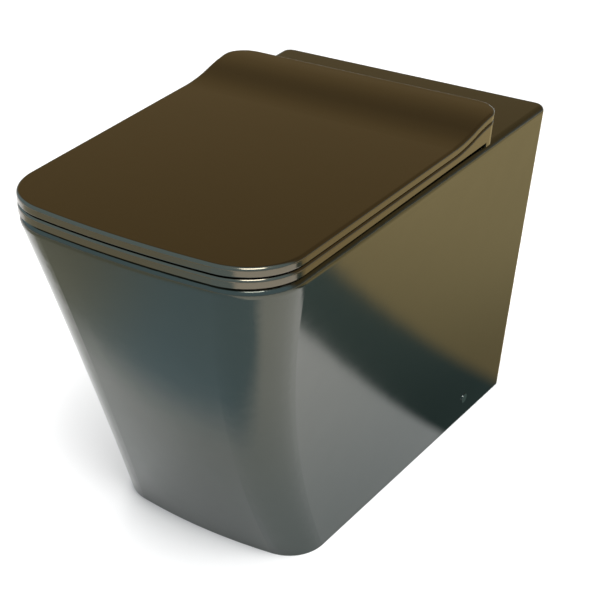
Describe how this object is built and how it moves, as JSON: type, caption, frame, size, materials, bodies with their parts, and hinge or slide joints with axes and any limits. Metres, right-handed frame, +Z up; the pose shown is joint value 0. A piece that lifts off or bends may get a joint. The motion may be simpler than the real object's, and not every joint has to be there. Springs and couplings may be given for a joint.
{
  "type": "close coupled toilet",
  "caption": "Back-to-wall toilet pan with a tapered glossy skirt, a trapway with a rear spigot, and a slim soft-close seat and lid on lift-off hinges.",
  "frame": {"origin": "on the floor, at the middle of the pan's plan", "axes": "+Z up; -Y is the front where the user sits; +Y is the wall side; +X is the right side as seen from the front"},
  "size_m": [0.3602, 0.604, 0.4375],
  "materials": {
    "glazed_china": "mirror-gloss dark metallic glaze",
    "seat_shell": "mirror-gloss dark metallic lacquer on moulded urea resin",
    "buffer_rubber": "soft matt",
    "hinge_steel": "turned stainless steel",
    "hinge_plastic": "fine satin moulding",
    "button_chrome": "dark plated",
    "bracket_nylon": "natural nylon",
    "damper_plastic": "smooth acetal"
  },
  "bodies": {
    "pan": {"pan_deck": "glazed_china", "pan_skirt": "glazed_china", "pan_bowl": "glazed_china", "pan_trapway": "glazed_china", "pan_flush_duct": "glazed_china", "hinge_post_right": "hinge_steel", "hinge_post_left": "hinge_steel", "seat_bolt_bushes": "buffer_rubber", "seat_bolt_washers": "hinge_plastic", "seat_wing_nuts": "bracket_nylon", "floor_bracket_right": "bracket_nylon", "floor_bracket_left": "bracket_nylon", "side_fixing_sleeves": "bracket_nylon", "side_fixing_screws": "hinge_steel", "side_cover_caps": "button_chrome"},
    "seat_mount": {"hinge_housing_right": "hinge_plastic", "hinge_housing_left": "hinge_plastic", "seat_hinge_pin": "hinge_steel", "lid_hinge_pin": "hinge_steel", "seat_damper_rotor": "hinge_steel", "lid_damper_rotor": "hinge_steel"},
    "seat": {"seat_ring": "seat_shell", "seat_buffers": "buffer_rubber", "seat_damper_body": "damper_plastic"},
    "lid": {"lid": "seat_shell", "lid_buffers": "buffer_rubber", "lid_damper_body": "damper_plastic"},
    "release_button_right": {"release_button_right": "button_chrome"},
    "release_button_left": {"release_button_left": "button_chrome"}
  },
  "joints": [
    {"name": "seat_lift_off", "type": "slide", "parent": "pan", "child": "seat_mount", "axis": [0, 0, 1], "range_m": [0, 0.03]},
    {"name": "seat_hinge", "type": "hinge", "parent": "seat_mount", "child": "seat", "pos_m": [0, 0.1495, 0.4191], "axis": [1, 0, 0], "range_deg": [-95, 0]},
    {"name": "lid_hinge", "type": "hinge", "parent": "seat", "child": "lid", "pos_m": [0, 0.1495, 0.4191], "axis": [-1, 0, 0], "range_deg": [0, 100]},
    {"name": "button_press_right", "type": "slide", "parent": "seat_mount", "child": "release_button_right", "axis": [0, 1, 0], "range_m": [0, 0.002], "stiffness_N_per_m": 400},
    {"name": "button_press_left", "type": "slide", "parent": "seat_mount", "child": "release_button_left", "axis": [0, 1, 0], "range_m": [0, 0.002], "stiffness_N_per_m": 400}
  ]
}
